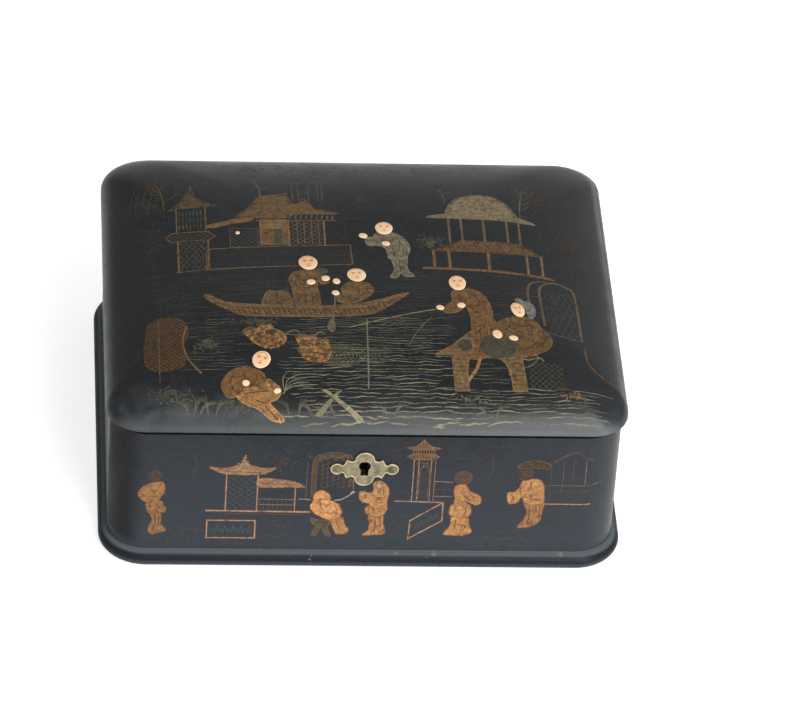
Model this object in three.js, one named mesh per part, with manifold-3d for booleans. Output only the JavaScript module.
// A black lacquer box with a hinged pillow lid, a bullnose base, inset butt hinges,
// a sliding link-plate lock in the front board and bone inlays in the lid.
// Millimetres. X runs to the right, the front faces -Y, and Z is up from the table.
import * as THREE from 'three';
import { mergeVertices } from 'three/addons/utils/BufferGeometryUtils.js';
import Module from 'manifold-3d';

const wasm = await Module();
wasm.setup();

// Driving dimensions of the body
const gap = 0.3;
const bodyWidth = 294;
const bodyDepth = 244;
const bodyCornerRadius = 22.5;
const wall = 9;
const wallHeight = 88.2;
const baseThickness = 10;
const baseOverhang = 5;
const floorStep = 3;
const postStraight = 5;
const tongueThickness = 3;
const tongueLength = 4.5;

// Driving dimensions of the lid
const lidGap = 0.5;
const lidOverhang = 3;
const lidCornerRadius = 22;
const rimHeight = 1.2;
const rimEasing = 0.5;
const domeRise = 28;
const domeFullness = 3.6;
const cornerOpening = 1.5;
const railWidth = 15;
const railHeight = 12;
const hollowRise = 10.5;
const hollowFullness = 2.4;

// Driving dimensions of the hinges
const hingeInset = 57;
const hingeLength = 32;
const knuckleRadius = 2.5;
const knuckleCount = 5;
const barrelPlay = 0.4;
const hingePinRadius = 1;
const leafThickness = 1.2;
const leafReach = 8.5;
const hingeScrewInset = 6;

// Driving dimensions of the screws
const screwHeadRadius = 2;
const screwShankRadius = 1;
const screwLength = 6;
const screwRim = 0.2;
const slotWidth = 0.5;
const slotDepth = 0.4;

// Driving dimensions of the lock
const keyholeX = -1.3;
const keyholeDrop = 24.5;
const keyholeRadius = 3.4;
const keyholeTail = 6.9;
const keyholeTailWidth = 4.4;
const lockWidth = 66;
const lockHeight = 41;
const lockPlateThickness = 1.2;
const selvageDepth = 7.2;
const lockScrewInset = 3.6;
const caseThickness = 1;
const caseFootInset = 1.5;
const boltThickness = 2;
const boltPlay = 0.4;
const boltTravel = 4;
const barHeight = 7;
const barDrop = 9.5;
const postWidth = 2.5;
const prongLength = 4;
const prongHeight = 2.6;
const prongClearance = 0.5;
const talonWidth = 6;
const talonDepth = 3.5;
const studRadius = 1.5;
const drillPinRadius = 1.1;
const springThickness = 0.8;
const springWidth = 1.6;
const springFoot = 5;
const springReach = 6.5;

// Driving dimensions of the link plate in the lid
const linkEar = 8.5;
const linkThickness = 1.2;
const linkScrewInset = 4;
const lugWidth = 7;
const lugThickness = 2;
const lugDrop = 7.5;
const hookLip = 1.6;
const hookDepth = 4.6;

// Driving dimensions of the keyhole plate
const escutcheonThickness = 1;
const escutcheonDrop = 26.6;
const roundelOffset = 15.8;
const roundelRadius = 3.9;
const lobeRadius = 5.7;
const lobeRise = 6.4;
const armHalfHeight = 2.6;
const shoulderOut = 11.6;
const shoulderUp = 4.1;
const cuspOut = 10.3;
const cuspUp = 7;
const valleyOut = 7.2;
const valleyUp = 5.5;
const tackHeadRadius = 1.5;
const tackShankRadius = 0.6;
const tackLength = 3.4;

// Driving dimensions of the bone inlays
const inlayDepth = 1.1;
const inlayCrown = 0.7;
const inlayEdge = 0.2;
const crownShoulderShare = 0.7;
const crownShoulderHeight = 0.56;

// Fineness of the faceted curves
const cornerSteps = 8;
const domeSteps = 13;
const hollowSteps = 6;
const noseSteps = 8;
const roundSides = 16;
const smallSides = 10;

// Places that follow from the driving dimensions
const halfWidth = bodyWidth / 2;
const halfDepth = bodyDepth / 2;
const postCentreX = halfWidth - bodyCornerRadius;
const postCentreY = halfDepth - bodyCornerRadius;
const wallBottom = baseThickness + gap;
const wallTop = wallBottom + wallHeight;
const lidBottom = wallTop + lidGap;
const lidHalfWidth = halfWidth + lidOverhang;
const lidHalfDepth = halfDepth + lidOverhang;
const railTop = lidBottom + railHeight;
const jointMiddle = wallTop + lidGap / 2;
const hingeAxisY = halfDepth + lidOverhang - knuckleRadius;
const hingeOffset = halfWidth - hingeInset;
const hingeScrewSpacing = hingeLength - 2 * hingeScrewInset;
const innerFaceY = wall - halfDepth;
const beyond = 20;

// Finishes
const finish = (color, roughness, metalness) => (
  new THREE.MeshStandardMaterial({ color, roughness, metalness })
);
const lacquer = finish(0x22262a, 0.3, 0);
const paleBrass = finish(0xb9ac84, 0.45, 0.9);
const yellowBrass = finish(0xa88a4a, 0.4, 0.9);
const steel = finish(0x76746f, 0.45, 0.9);
const bone = finish(0xeadfc6, 0.5, 0);

// A closed solid for cutting and joining, from any closed geometry
function solid(geometry, place = new THREE.Matrix4()) {
  const bare = geometry.clone().applyMatrix4(place);
  bare.deleteAttribute('normal');
  bare.deleteAttribute('uv');
  const welded = mergeVertices(bare, 1e-4);
  const corners = welded.index.array;
  const kept = [];
  for (let at = 0; at < corners.length; at += 3) {
    const [a, b, c] = [corners[at], corners[at + 1], corners[at + 2]];
    if (a !== b && b !== c && c !== a) kept.push(a, b, c);
  }
  return new wasm.Manifold(new wasm.Mesh({
    numProp: 3,
    vertProperties: new Float32Array(welded.attributes.position.array),
    triVerts: new Uint32Array(kept),
  }));
}

// A named mesh of one finished piece
function piece(name, shape, material) {
  const { vertProperties, triVerts } = shape.getMesh();
  const geometry = new THREE.BufferGeometry();
  geometry.setAttribute('position', new THREE.BufferAttribute(vertProperties, 3));
  geometry.setIndex(new THREE.BufferAttribute(triVerts, 1));
  geometry.computeVertexNormals();
  const mesh = new THREE.Mesh(geometry, material.clone());
  mesh.name = name;
  return mesh;
}

const shift = (x, y, z) => new THREE.Matrix4().makeTranslation(x, y, z);
const turnX = (angle) => new THREE.Matrix4().makeRotationX(angle);

function block(low, high, place) {
  const size = high.map((value, axis) => value - low[axis]);
  const middle = high.map((value, axis) => (value + low[axis]) / 2);
  const geometry = new THREE.BoxGeometry(...size).translate(...middle);
  return solid(geometry, place);
}

// A rod along X, centred on its place
function rodAcross(radius, length, sides, place) {
  const geometry = new THREE.CylinderGeometry(radius, radius, length, sides);
  return solid(geometry.rotateZ(Math.PI / 2), place);
}

// A rod along Y from the point given towards the back
function rodBack(radius, [x, y, z], length, sides, place) {
  const geometry = new THREE.CylinderGeometry(radius, radius, length, sides);
  return solid(geometry.translate(x, y + length / 2, z), place);
}

// A turned piece: the profile runs up the axis from its lowest point
function turned(profile, sides, place) {
  const points = profile.map(([radius, height]) => new THREE.Vector2(radius, height));
  const geometry = new THREE.LatheGeometry(points, sides).rotateX(Math.PI / 2);
  return solid(geometry, place);
}

// A flat plate whose outline stands in the X-Z plane; its back face lies at y
function standingPlate(shape, y, thickness, place = new THREE.Matrix4()) {
  const geometry = new THREE.ExtrudeGeometry(shape, {
    depth: thickness,
    bevelEnabled: false,
    curveSegments: 8,
  });
  geometry.rotateX(Math.PI / 2).translate(0, y, 0);
  return solid(geometry, place);
}

// Points of an arc, from one angle to the other
function arcPoints(x, y, radius, from, to, steps) {
  return Array.from({ length: steps + 1 }, (_, step) => {
    const angle = from + (to - from) * step / steps;
    return new THREE.Vector2(x + radius * Math.cos(angle), y + radius * Math.sin(angle));
  });
}

// A level ring in the form of a rectangle with round corners
function roundedRing(halfX, halfY, radius, z) {
  const corners = [[1, 1], [-1, 1], [-1, -1], [1, -1]];
  return corners.flatMap(([sideX, sideY], quarter) => (
    arcPoints(
      sideX * (halfX - radius),
      sideY * (halfY - radius),
      radius,
      quarter * Math.PI / 2,
      (quarter + 1) * Math.PI / 2,
      cornerSteps,
    ).map((point) => new THREE.Vector3(point.x, point.y, z))
  ));
}

// A closed skin through level rings, lowest first, with a flat cap at each end
function loft(rings) {
  const count = rings[0].length;
  const points = rings.flat();
  const lastRing = (rings.length - 1) * count;
  const bottom = points.push(new THREE.Vector3(0, 0, rings[0][0].z)) - 1;
  const top = points.push(new THREE.Vector3(0, 0, rings.at(-1)[0].z)) - 1;
  const faces = [];
  for (let at = 0; at < count; at += 1) {
    const next = (at + 1) % count;
    faces.push(bottom, next, at);
    for (let start = 0; start < lastRing; start += count) {
      faces.push(start + at, start + next, start + count + next);
      faces.push(start + at, start + count + next, start + count + at);
    }
    faces.push(top, lastRing + at, lastRing + next);
  }
  const geometry = new THREE.BufferGeometry().setFromPoints(points);
  geometry.setIndex(faces);
  return solid(geometry);
}

// Countersunk wood screw, its head flush with z = 0 and its point downwards
function screwSolid() {
  const headDepth = screwRim + screwHeadRadius - screwShankRadius;
  const shank = turned([
    [0, -screwLength],
    [screwShankRadius, -screwLength + 2 * screwShankRadius],
    [screwShankRadius, -headDepth],
    [screwHeadRadius, -screwRim],
    [screwHeadRadius, 0],
    [0, 0],
  ], smallSides);
  return shank.subtract(block(
    [-beyond, -slotWidth / 2, -slotDepth],
    [beyond, slotWidth / 2, beyond],
  ));
}

// The countersunk hole that a screw sits in, with clearance all round
function screwRoom(place) {
  const headDepth = screwRim + screwHeadRadius - screwShankRadius;
  const radius = screwShankRadius + gap;
  return turned([
    [0, -screwLength - gap],
    [radius, -screwLength - gap],
    [radius, -headDepth],
    [screwHeadRadius + gap, -screwRim],
    [screwHeadRadius + gap, beyond],
    [0, beyond],
  ], smallSides, place);
}

const screwShape = screwSolid();

function screw(name, place) {
  const mesh = piece(name, screwShape, steel);
  mesh.applyMatrix4(place);
  return mesh;
}

const subtractAll = (shape, cutters) => cutters.reduce((left, cutter) => left.subtract(cutter), shape);

// Base board: a bullnose bead all round and a raised floor that locates the walls
function baseBoard() {
  const rings = Array.from({ length: noseSteps + 1 }, (_, step) => {
    const angle = (step / noseSteps - 0.5) * Math.PI;
    const reach = baseOverhang * Math.cos(angle);
    const height = (baseThickness / 2) * (1 + Math.sin(angle));
    return roundedRing(halfWidth + reach, halfDepth + reach, bodyCornerRadius + reach, height);
  });
  const inset = wall + gap;
  const floorRing = (z) => (
    roundedRing(halfWidth - inset, halfDepth - inset, bodyCornerRadius - inset, z)
  );
  const floor = loft([floorRing(baseThickness / 2), floorRing(baseThickness + floorStep)]);
  return loft(rings).add(floor);
}

// Corner post: a quarter of a round wall with a grooved straight end on each side
function cornerPost(sideX, sideY) {
  const outer = bodyCornerRadius;
  const inner = bodyCornerRadius - wall;
  const groove = tongueThickness / 2 + gap;
  const middle = bodyCornerRadius - wall / 2;
  const grooveEnd = tongueLength - postStraight;
  const quarter = [
    ...arcPoints(0, 0, outer, 0, Math.PI / 2, cornerSteps),
    [-postStraight, outer],
    [-postStraight, middle + groove],
    [grooveEnd, middle + groove],
    [grooveEnd, middle - groove],
    [-postStraight, middle - groove],
    [-postStraight, inner],
    ...arcPoints(0, 0, inner, Math.PI / 2, 0, cornerSteps),
    [inner, -postStraight],
    [middle - groove, -postStraight],
    [middle - groove, grooveEnd],
    [middle + groove, grooveEnd],
    [middle + groove, -postStraight],
    [outer, -postStraight],
  ];
  const outline = quarter.map((point) => {
    const [x, y] = point.isVector2 ? [point.x, point.y] : point;
    return new THREE.Vector2(sideX * (postCentreX + x), sideY * (postCentreY + y));
  });
  const geometry = new THREE.ExtrudeGeometry(new THREE.Shape(outline), {
    depth: wallHeight,
    bevelEnabled: false,
  });
  return solid(geometry, shift(0, 0, wallBottom));
}

// Wall board between two posts, with a tongue on each end; turned for the short sides
function wallBoard(halfRun, outerFace, quarterTurns) {
  const shoulder = halfRun - postStraight - gap;
  const tip = shoulder + tongueLength;
  const middle = wall / 2 - outerFace;
  const place = new THREE.Matrix4().makeRotationZ(quarterTurns * Math.PI / 2);
  const board = block(
    [-shoulder, -outerFace, wallBottom],
    [shoulder, wall - outerFace, wallTop],
    place,
  );
  const tongues = block(
    [-tip, middle - tongueThickness / 2, wallBottom],
    [tip, middle + tongueThickness / 2, wallTop],
    place,
  );
  return board.add(tongues);
}

// Keyhole outline: a round head with a straight tail below it
function keyholeShape(growth) {
  const radius = keyholeRadius + growth;
  const half = keyholeTailWidth / 2 + growth;
  const meet = Math.asin(half / radius) - Math.PI / 2;
  return [
    new THREE.Vector2(-half, -keyholeTail - growth),
    new THREE.Vector2(half, -keyholeTail - growth),
    ...arcPoints(0, 0, radius, meet, Math.PI - meet, roundSides),
  ];
}

// Butt hinge, seen from its pin: every hinge piece is placed from the axis of the barrel
const hingePlace = (side) => shift(side * hingeOffset, hingeAxisY, jointMiddle);
const hingeScrewPlaces = (half) => [-1, 1].map((end) => {
  const y = -(leafReach + knuckleRadius + barrelPlay) / 2;
  const head = shift(end * hingeScrewSpacing / 2, y, half * lidGap / 2);
  return head.multiply(turnX(half > 0 ? Math.PI : 0));
});

// Leaf with its share of the knuckles: half is -1 for the body's leaf, 1 for the lid's
function hingeLeaf(half) {
  const levels = [half * lidGap / 2, half * (lidGap / 2 + leafThickness)];
  const low = Math.min(...levels);
  const high = Math.max(...levels);
  const plateEdge = -(knuckleRadius + barrelPlay);
  const pitch = (hingeLength + gap) / knuckleCount;
  let leaf = block([-hingeLength / 2, -leafReach, low], [hingeLength / 2, plateEdge, high]);
  for (let knuckle = half > 0 ? 1 : 0; knuckle < knuckleCount; knuckle += 2) {
    const from = -hingeLength / 2 + knuckle * pitch;
    const to = from + pitch - gap;
    const ear = block([from, plateEdge - leafThickness, low], [to, 0, high]);
    const barrel = rodAcross(knuckleRadius, to - from, roundSides, shift((from + to) / 2, 0, 0));
    leaf = leaf.add(ear).add(barrel);
  }
  const bore = rodAcross(hingePinRadius + gap, 2 * hingeLength, smallSides);
  return subtractAll(leaf, [bore, ...hingeScrewPlaces(half).map(screwRoom)]);
}

function hingePin() {
  const half = hingeLength / 2;
  const chamfer = hingePinRadius / 4;
  return turned([
    [0, -half],
    [hingePinRadius - chamfer, -half],
    [hingePinRadius, chamfer - half],
    [hingePinRadius, half - chamfer],
    [hingePinRadius - chamfer, half],
    [0, half],
  ], smallSides, new THREE.Matrix4().makeRotationY(Math.PI / 2));
}

// What a hinge leaf needs cut from the wood that carries it
function hingeRoom(side, half) {
  const place = hingePlace(side);
  const reach = hingeLength / 2 + gap;
  const depth = lidGap / 2 + leafThickness + gap;
  const levels = [half * depth, -half * beyond];
  return [
    block(
      [-reach, -leafReach - gap, Math.min(...levels)],
      [reach, beyond, Math.max(...levels)],
      place,
    ),
    rodAcross(knuckleRadius + barrelPlay, 2 * reach, roundSides, place),
    ...hingeScrewPlaces(half).map((screwPlace) => screwRoom(place.clone().multiply(screwPlace))),
  ];
}

// The lock is placed from the keyhole's line on the inner face, at the top of the wall
const lockPlace = shift(keyholeX, innerFaceY, wallTop);
const lockHalf = lockWidth / 2;
const caseWidth = lockWidth - 4 * lockScrewInset;
const caseHalf = caseWidth / 2;
const caseBottom = caseFootInset - lockHeight;
const boltBack = -lockPlateThickness - boltPlay;
const caseInner = boltBack - boltThickness - boltPlay;
const caseOuter = caseInner - caseThickness;
const hookFloor = hookLip - lugDrop;
const prongLow = hookFloor + boltPlay;
const barTop = -barDrop;
const barLow = barTop - barHeight;
const hookRun = postWidth + prongLength + prongClearance;
const lugSpacing = caseWidth - 2 * (caseThickness + gap + hookRun) - lugWidth;
const lugCentres = [-lugSpacing / 2, lugSpacing / 2];
const prongTip = (lugX) => lugX - lugWidth / 2 - prongClearance;
const studOffset = lugSpacing / 2;
const studPlaces = [-studOffset, studOffset - postWidth];
const keyholeShapeAt = (growth) => new THREE.Shape(
  keyholeShape(growth).map(({ x, y }) => new THREE.Vector2(x, y - keyholeDrop)),
);

const lockScrewPlaces = [-1, 1].flatMap((side) => (
  [lockScrewInset, lockHeight - lockScrewInset].map((drop) => {
    const fromTop = Math.max(drop, lockPlateThickness + gap + screwHeadRadius);
    const head = shift(side * (lockHalf - lockScrewInset), 0, -fromTop);
    return head.multiply(turnX(-Math.PI / 2));
  })
));

// Back plate with its selvage, its riveted guide studs and the drill pin for the key
function lockPlate() {
  const back = block([-lockHalf, -lockPlateThickness, -lockHeight], [lockHalf, 0, 0]);
  const selvage = block([-lockHalf, -selvageDepth, -lockPlateThickness], [lockHalf, 0, 0]);
  const studEnd = caseInner + gap;
  const studs = studPlaces.map((x) => rodBack(
    studRadius,
    [x, studEnd, barTop - barHeight / 2],
    -lockPlateThickness / 2 - studEnd,
    smallSides,
  ));
  const drillPin = rodBack(
    drillPinRadius,
    [0, caseOuter - caseThickness, -keyholeDrop],
    -caseOuter,
    smallSides,
  );
  const lugSlots = lugCentres.map((x) => block(
    [x - lugWidth / 2 - 2 * gap, boltBack - boltThickness - 2 * gap, -beyond / 2],
    [x + lugWidth / 2 + 2 * gap, boltBack + gap, beyond],
  ));
  const whole = [selvage, ...studs, drillPin].reduce((left, part) => left.add(part), back);
  return subtractAll(whole, [...lugSlots, ...lockScrewPlaces.map(screwRoom)]);
}

// Case: a shallow tray over the bolt, open towards the plate and at the top
function lockCase() {
  const top = -lockPlateThickness - gap;
  const openFace = -lockPlateThickness - gap;
  const tray = block([-caseHalf, caseOuter, caseBottom], [caseHalf, openFace, top]);
  const inside = block(
    [caseThickness - caseHalf, caseInner, caseBottom + caseThickness],
    [caseHalf - caseThickness, beyond, beyond],
  );
  const keyhole = standingPlate(keyholeShapeAt(0), beyond, 2 * beyond);
  return tray.subtract(inside).subtract(keyhole);
}

// Sliding bolt: a bar with two hooked prongs that enter the lugs, slots and a talon
function lockBolt() {
  const barLeft = prongTip(lugCentres[0]) - prongLength - postWidth;
  const barRight = caseHalf - caseThickness - gap - boltTravel;
  const back = boltBack;
  const front = boltBack - boltThickness;
  let bolt = block([barLeft, front, barLow], [barRight, back, barTop]);
  lugCentres.forEach((lugX) => {
    const tip = prongTip(lugX);
    const root = tip - prongLength;
    const head = prongLow + prongHeight;
    bolt = bolt
      .add(block([root - postWidth, front, barLow + postWidth], [root, back, head]))
      .add(block([root - postWidth, front, prongLow], [tip, back, head]));
  });
  const slots = studPlaces.map((x) => {
    const reach = studRadius + boltPlay;
    const slot = new THREE.Shape([
      ...arcPoints(x, barTop - barHeight / 2, reach, -Math.PI / 2, Math.PI / 2, 8),
      ...arcPoints(x - boltTravel, barTop - barHeight / 2, reach, Math.PI / 2, 1.5 * Math.PI, 8),
    ]);
    return standingPlate(slot, beyond, 2 * beyond);
  });
  const talon = block(
    [-talonWidth + boltPlay, -beyond, barLow - beyond],
    [boltPlay, beyond, barLow + talonDepth],
  );
  return subtractAll(bolt, [...slots, talon]);
}

// Outline of a strip of even thickness along a middle line
function stripShape(middleLine, thickness) {
  const sides = [1, -1].map((side) => middleLine.map((point, at) => {
    const before = middleLine[Math.max(at - 1, 0)];
    const after = middleLine[Math.min(at + 1, middleLine.length - 1)];
    const along = after.clone().sub(before).normalize();
    const across = new THREE.Vector2(-along.y, along.x).multiplyScalar(side * thickness / 2);
    return point.clone().add(across);
  }));
  return new THREE.Shape([...sides[0], ...sides[1].reverse()]);
}

// Leaf spring on the bolt: a foot on the bar and a bowed tongue under the selvage
function boltSpring() {
  const half = springThickness / 2;
  const footLevel = barTop + gap + half;
  const contact = -lockPlateThickness - gap - half;
  const tip = prongTip(lugCentres[1]) - prongLength - postWidth - gap - half;
  const bend = tip - springReach;
  const bow = new THREE.CubicBezierCurve(
    new THREE.Vector2(bend, footLevel),
    new THREE.Vector2(bend + springReach / 2, footLevel),
    new THREE.Vector2(bend + springReach / 4, contact),
    new THREE.Vector2(tip - springThickness, contact),
  );
  const line = [
    new THREE.Vector2(bend - springFoot, footLevel),
    ...bow.getPoints(8),
    new THREE.Vector2(tip, contact - half),
  ];
  const back = boltBack - (boltThickness - springWidth) / 2;
  return standingPlate(stripShape(line, springThickness), back, springWidth);
}

// What the lock needs cut from the front board
function lockRoom() {
  const reach = lockHalf + gap;
  const keyhole = standingPlate(keyholeShapeAt(2 * gap), 0, beyond, lockPlace);
  return [
    block([-reach, -lockPlateThickness - gap, -lockHeight - gap], [reach, beyond, beyond], lockPlace),
    block([-reach, -selvageDepth - gap, -lockPlateThickness - gap], [reach, beyond, beyond], lockPlace),
    block([-caseHalf - gap, caseOuter - gap, caseBottom - gap], [caseHalf + gap, beyond, 0], lockPlace),
    keyhole,
    ...lockScrewPlaces.map((place) => screwRoom(lockPlace.clone().multiply(place))),
  ];
}

// Link plate in the lid, with two hooked lugs that drop through the selvage
const linkPlace = shift(keyholeX, innerFaceY, lidBottom);
const linkWidth = lugSpacing + lugWidth + 2 * linkEar;
const linkHalf = linkWidth / 2;
const linkScrewPlaces = [-1, 1].map((side) => (
  shift(side * (linkHalf - linkScrewInset), -selvageDepth / 2, 0).multiply(turnX(Math.PI))
));

function linkPlate() {
  let plate = block([-linkHalf, -selvageDepth, 0], [linkHalf, 0, linkThickness]);
  const middle = boltBack - boltThickness / 2;
  const back = middle + lugThickness / 2;
  const front = middle - lugThickness / 2;
  const hookLow = hookFloor - lidGap;
  lugCentres.forEach((x) => {
    const left = x - lugWidth / 2;
    const lug = block([left, front, -lugDrop - lidGap], [left + lugWidth, back, linkThickness / 2]);
    const notch = block(
      [left - gap, front - gap, hookLow],
      [left + hookDepth, back + gap, hookLow + prongHeight + 2 * boltPlay],
    );
    plate = plate.add(lug.subtract(notch));
  });
  return subtractAll(plate, linkScrewPlaces.map(screwRoom));
}

function linkRoom() {
  const reach = linkHalf + gap;
  return [
    block([-reach, -selvageDepth - gap, -beyond], [reach, gap, linkThickness + gap], linkPlace),
    ...linkScrewPlaces.map((place) => screwRoom(linkPlace.clone().multiply(place))),
  ];
}

// Keyhole plate: two lobes, four cusps and a pierced roundel at each end
const escutcheonPlace = shift(keyholeX, -halfDepth - gap, wallTop - escutcheonDrop);
const tackPlaces = [-roundelOffset, roundelOffset];

function escutcheonQuarter() {
  const point = (x, y) => new THREE.Vector2(x, y);
  const shoulder = point(shoulderOut, shoulderUp);
  const cusp = point(cuspOut, cuspUp);
  const valley = point(valleyOut, valleyUp);
  const neck = point((shoulderOut + cuspOut) / 2 + gap, (shoulderUp + cuspUp) / 2 - 2 * gap);
  const meetsArm = Math.PI - Math.asin(armHalfHeight / roundelRadius);
  const bend = (from, through, to) => (
    new THREE.QuadraticBezierCurve(from, through, to).getPoints(3).slice(1)
  );
  const roundel = arcPoints(roundelOffset, 0, roundelRadius, 0, meetsArm, 8);
  const lobe = arcPoints(0, lobeRise, lobeRadius, 0, Math.PI / 2, 6);
  return [
    ...roundel,
    ...bend(roundel.at(-1), point(shoulderOut, (armHalfHeight + shoulderUp) / 2), shoulder),
    ...bend(shoulder, neck, cusp),
    ...bend(cusp, point((cuspOut + valleyOut) / 2, valleyUp), valley),
    ...lobe,
  ];
}

function escutcheonOutline() {
  const quarter = escutcheonQuarter();
  const mirrored = (sideX, sideY) => quarter.map(({ x, y }) => new THREE.Vector2(sideX * x, sideY * y));
  const outline = [
    ...mirrored(1, 1),
    ...mirrored(-1, 1).reverse(),
    ...mirrored(-1, -1),
    ...mirrored(1, -1).reverse(),
  ];
  return outline.filter((point, at) => point.distanceTo(outline.at(at - 1)) > 1e-6);
}

function escutcheon() {
  const plate = standingPlate(new THREE.Shape(escutcheonOutline()), 0, escutcheonThickness);
  const lift = escutcheonDrop - keyholeDrop;
  const hole = new THREE.Shape(keyholeShape(0).map(({ x, y }) => new THREE.Vector2(x, y + lift)));
  const tackHoles = tackPlaces.map((x) => (
    rodBack(tackShankRadius + gap, [x, -beyond, 0], 2 * beyond, smallSides)
  ));
  return subtractAll(plate, [standingPlate(hole, beyond, 2 * beyond), ...tackHoles]);
}

// Round-headed tack that holds the keyhole plate, pointing into the board
function tack() {
  const seat = escutcheonThickness + gap;
  const crown = tackHeadRadius / 2;
  return turned([
    [0, -tackLength],
    [tackShankRadius, 2 * tackShankRadius - tackLength],
    [tackShankRadius, seat],
    [tackHeadRadius, seat],
    [tackHeadRadius * Math.SQRT1_2, seat + crown * Math.SQRT1_2],
    [0, seat + crown],
  ], smallSides, turnX(Math.PI / 2));
}

function tackRoom() {
  return tackPlaces.map((x) => (
    rodBack(tackShankRadius + gap, [x, -gap, 0], tackLength + 2 * gap, smallSides, escutcheonPlace)
  ));
}

// Pillow lid: rings that shrink from the rim, rise on a full curve and open their corners
const ringRadius = (half, share, first) => half * (first + (1 - first) * share ** cornerOpening);

function pillowRing(share) {
  const inset = lidHalfDepth * share;
  const half = lidHalfDepth - inset;
  const radius = ringRadius(half, share, lidCornerRadius / lidHalfDepth);
  return { halfX: lidHalfWidth - inset, halfY: half, radius };
}

const pillowHeight = (share) => (
  lidBottom + rimHeight + domeRise * Math.sqrt(1 - (1 - share) ** domeFullness)
);

function pillow() {
  const outer = pillowRing(0);
  const rim = (inset, height) => roundedRing(
    outer.halfX - inset,
    outer.halfY - inset,
    outer.radius - inset,
    lidBottom + height,
  );
  const rings = [rim(rimEasing, 0), rim(0, rimEasing), rim(0, rimHeight)];
  for (let step = 1; step <= domeSteps; step += 1) {
    const share = (step / domeSteps) ** 2;
    const { halfX, halfY, radius } = pillowRing(share);
    rings.push(roundedRing(halfX, halfY, radius, pillowHeight(share)));
  }
  return loft(rings);
}

// The hollow under the panel, opening onto the inner faces of the rails
function lidHollow() {
  const halfX = lidHalfWidth - railWidth;
  const halfY = lidHalfDepth - railWidth;
  const first = Math.max(lidCornerRadius - railWidth, rimHeight);
  const rings = [roundedRing(halfX, halfY, first, railTop - gap)];
  for (let step = 0; step <= hollowSteps; step += 1) {
    const share = (step / (hollowSteps + 1)) ** 2;
    const half = halfY * (1 - share);
    const height = railTop + gap + hollowRise * Math.sqrt(1 - (1 - share) ** hollowFullness);
    const radius = ringRadius(half, share, first / halfY);
    rings.push(roundedRing(halfX - halfY * share, half, radius, height));
  }
  return loft(rings);
}

// Share of the way from the rim to the middle at which a point of the lid lies
function shareAt(x, y) {
  let [low, high] = [0, 1];
  for (let pass = 0; pass < 40; pass += 1) {
    const share = (low + high) / 2;
    const { halfX, halfY, radius } = pillowRing(share);
    const outX = Math.abs(x) - (halfX - radius);
    const outY = Math.abs(y) - (halfY - radius);
    const beyondCorner = outX > 0 && outY > 0;
    const out = (beyondCorner ? Math.hypot(outX, outY) : Math.max(outX, outY)) - radius;
    if (out < 0) low = share;
    else high = share;
  }
  return low;
}

// Place on the lid's surface, with Z along the surface normal
function onPillow(x, y, turn) {
  const step = 0.5;
  const height = (atX, atY) => pillowHeight(shareAt(atX, atY));
  const slopeX = (height(x + step, y) - height(x - step, y)) / (2 * step);
  const slopeY = (height(x, y + step) - height(x, y - step)) / (2 * step);
  const normal = new THREE.Vector3(-slopeX, -slopeY, 1).normalize();
  const tilt = new THREE.Quaternion().setFromUnitVectors(new THREE.Vector3(0, 0, 1), normal);
  return new THREE.Matrix4()
    .compose(new THREE.Vector3(x, y, height(x, y)), tilt, new THREE.Vector3(1, 1, 1))
    .multiply(new THREE.Matrix4().makeRotationZ(THREE.MathUtils.degToRad(turn)));
}

// Bone faces and hands of the figures: across from the lid's middle, in from its front rim
const inlays = [
  { name: 'face_standing', across: 14.6, in: 157, width: 10.4, height: 12, turn: 0 },
  { name: 'face_boatman', across: -31.4, in: 122.6, width: 11, height: 13, turn: 4 },
  { name: 'face_rower', across: -3.6, in: 111.4, width: 11, height: 12.2, turn: 8 },
  { name: 'face_angler', across: 54.8, in: 105, width: 10, height: 13.4, turn: 3 },
  { name: 'face_seated', across: 88.6, in: 81.8, width: 7.8, height: 13, turn: 12 },
  { name: 'face_resting', across: -61.4, in: 36.6, width: 10.4, height: 13, turn: -18 },
  { name: 'hand_standing_left', across: 2, in: 149.4, width: 5.2, height: 4.6, turn: -20 },
  { name: 'hand_standing_right', across: 15, in: 142, width: 5, height: 4, turn: -15 },
  { name: 'hand_boatman_left', across: -30.4, in: 104.2, width: 5.2, height: 4.6, turn: 10 },
  { name: 'hand_boatman_right', across: -21.8, in: 107.8, width: 5, height: 4.8, turn: 25 },
  { name: 'hand_rower_upper', across: -15.6, in: 105.2, width: 4.4, height: 5, turn: 20 },
  { name: 'hand_rower_lower', across: -16.6, in: 94.2, width: 4.6, height: 4.2, turn: -15 },
  { name: 'hand_angler_rod', across: 43.4, in: 81.8, width: 4.8, height: 4, turn: -20 },
  { name: 'hand_angler_sleeve', across: 55.8, in: 84.2, width: 4.8, height: 4.4, turn: 0 },
  { name: 'hand_seated_left', across: 75.2, in: 59, width: 5.4, height: 7.2, turn: 15 },
  { name: 'hand_seated_right', across: 84.4, in: 56.2, width: 5.4, height: 4, turn: -10 },
  { name: 'hand_resting_left', across: -70.6, in: 20.4, width: 4.2, height: 4, turn: 0 },
  { name: 'hand_resting_right', across: -52.8, in: 15.8, width: 4, height: 3.2, turn: 20 },
];

const inlayPlace = (inlay) => onPillow(inlay.across, inlay.in - lidHalfDepth, inlay.turn);
const ovalScale = ({ width, height }, growth) => (
  new THREE.Matrix4().makeScale(width / 2 + growth, height / 2 + growth, 1)
);

// An oval tablet with a crowned top; its edge lies at the lid's surface
function inlayTablet(inlay) {
  return turned([
    [0, -inlayDepth],
    [1 - inlayEdge / 2, -inlayDepth],
    [1, inlayEdge - inlayDepth],
    [1, inlayEdge],
    [crownShoulderShare, crownShoulderHeight],
    [0, inlayCrown],
  ], roundSides, ovalScale(inlay, 0));
}

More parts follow.
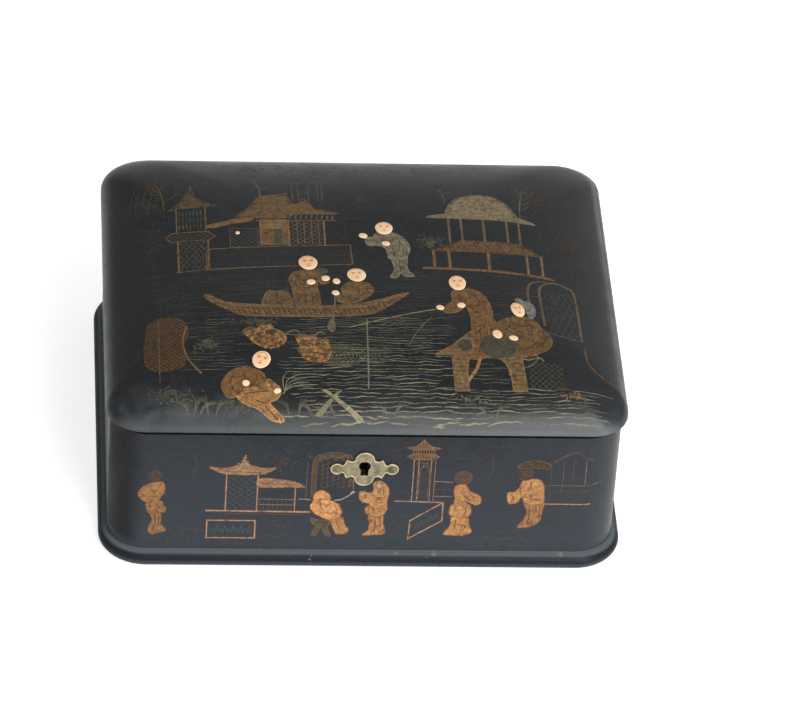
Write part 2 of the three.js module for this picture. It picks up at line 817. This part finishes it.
function inlayRoom(inlay) {
  const place = inlayPlace(inlay).multiply(ovalScale(inlay, gap));
  return turned([
    [0, -inlayDepth - gap],
    [1, -inlayDepth - gap],
    [1, beyond],
    [0, beyond],
  ], roundSides, place);
}

// Lid rails: the lower band of the pillow, hollow inside and mitred at the corners
const railSides = [
  { name: 'front', alongX: true, side: -1 },
  { name: 'rear', alongX: true, side: 1 },
  { name: 'left', alongX: false, side: -1 },
  { name: 'right', alongX: false, side: 1 },
];

// A wedge-shaped prism that holds one rail, its slanting faces on the mitres
function mitrePrism({ alongX, side }) {
  const half = alongX ? lidHalfWidth : lidHalfDepth;
  const edge = alongX ? lidHalfDepth : lidHalfWidth;
  const deep = 2 * railWidth;
  const back = gap * Math.SQRT1_2;
  const corners = [
    [half + beyond, edge + beyond + back],
    [-half - beyond, edge + beyond + back],
    [deep - half, edge - deep + back],
    [half - deep, edge - deep + back],
  ];
  const outline = corners.map(([along, out]) => (
    alongX ? new THREE.Vector2(along, side * out) : new THREE.Vector2(side * out, along)
  ));
  const geometry = new THREE.ExtrudeGeometry(new THREE.Shape(outline), {
    depth: railHeight + beyond,
    bevelEnabled: false,
  });
  return solid(geometry, shift(0, 0, lidBottom - beyond));
}

function lidFrame(pillowShape) {
  const halfX = lidHalfWidth - railWidth;
  const halfY = lidHalfDepth - railWidth;
  const wide = lidHalfWidth + beyond;
  return pillowShape
    .subtract(block([-wide, -wide, railTop], [wide, wide, railTop + domeRise + beyond]))
    .subtract(block([-halfX, -halfY, lidBottom - beyond], [halfX, halfY, railTop + beyond]));
}

function lidPanel(pillowShape) {
  const wide = lidHalfWidth + beyond;
  const seat = railTop + gap;
  const panel = pillowShape
    .subtract(block([-wide, -wide, lidBottom - beyond], [wide, wide, seat]))
    .subtract(lidHollow());
  return subtractAll(panel, inlays.map(inlayRoom));
}

// Pieces that stay on the table
function bodyGroup() {
  const group = new THREE.Group();
  group.add(piece('base_board', baseBoard(), lacquer));
  const front = subtractAll(wallBoard(postCentreX, halfDepth, 0), [...lockRoom(), ...tackRoom()]);
  const rear = subtractAll(wallBoard(postCentreX, halfDepth, 2), [...hingeRoom(-1, -1), ...hingeRoom(1, -1)]);
  group.add(piece('front_board', front, lacquer));
  group.add(piece('rear_board', rear, lacquer));
  group.add(piece('left_board', wallBoard(postCentreY, halfWidth, -1), lacquer));
  group.add(piece('right_board', wallBoard(postCentreY, halfWidth, 1), lacquer));
  [['front', -1], ['rear', 1]].forEach(([rank, sideY]) => {
    [['left', -1], ['right', 1]].forEach(([hand, sideX]) => {
      group.add(piece(`corner_post_${rank}_${hand}`, cornerPost(sideX, sideY), lacquer));
    });
  });
  return group;
}

function lidGroup() {
  const group = new THREE.Group();
  const pillowShape = pillow();
  const frame = lidFrame(pillowShape);
  const cuts = { front: linkRoom(), rear: [...hingeRoom(-1, 1), ...hingeRoom(1, 1)] };
  group.add(piece('lid_panel', lidPanel(pillowShape), lacquer));
  railSides.forEach((rail) => {
    const shape = frame.intersect(mitrePrism(rail));
    group.add(piece(`lid_${rail.name}_rail`, subtractAll(shape, cuts[rail.name] ?? []), lacquer));
  });
  inlays.forEach((inlay) => {
    const tablet = piece(inlay.name, inlayTablet(inlay), bone);
    tablet.applyMatrix4(inlayPlace(inlay));
    group.add(tablet);
  });
  return group;
}

function hingeGroup(name, side) {
  const group = new THREE.Group();
  [['body', -1], ['lid', 1]].forEach(([owner, half]) => {
    group.add(piece(`hinge_${name}_${owner}_leaf`, hingeLeaf(half), yellowBrass));
    hingeScrewPlaces(half).forEach((place, at) => {
      group.add(screw(`hinge_${name}_${owner}_screw_${at + 1}`, place));
    });
  });
  group.add(piece(`hinge_${name}_pin`, hingePin(), steel));
  group.applyMatrix4(hingePlace(side));
  return group;
}

function lockGroup() {
  const group = new THREE.Group();
  group.add(piece('lock_plate', lockPlate(), yellowBrass));
  group.add(piece('lock_case', lockCase(), yellowBrass));
  group.add(piece('lock_bolt', lockBolt(), steel));
  group.add(piece('bolt_spring', boltSpring(), steel));
  lockScrewPlaces.forEach((place, at) => group.add(screw(`lock_screw_${at + 1}`, place)));
  group.applyMatrix4(lockPlace);
  return group;
}

function linkGroup() {
  const group = new THREE.Group();
  group.add(piece('link_plate', linkPlate(), yellowBrass));
  linkScrewPlaces.forEach((place, at) => group.add(screw(`link_screw_${at + 1}`, place)));
  group.applyMatrix4(linkPlace);
  return group;
}

function escutcheonGroup() {
  const group = new THREE.Group();
  group.add(piece('escutcheon', escutcheon(), paleBrass));
  const tackShape = tack();
  ['left', 'right'].forEach((hand, at) => {
    const pin = piece(`escutcheon_tack_${hand}`, tackShape, paleBrass);
    pin.position.set(tackPlaces[at], 0, 0);
    group.add(pin);
  });
  group.applyMatrix4(escutcheonPlace);
  return group;
}

const lacquerBox = new THREE.Group();
lacquerBox.add(bodyGroup(), lidGroup(), lockGroup(), linkGroup(), escutcheonGroup());
lacquerBox.add(hingeGroup('left', -1), hingeGroup('right', 1));

export default lacquerBox;
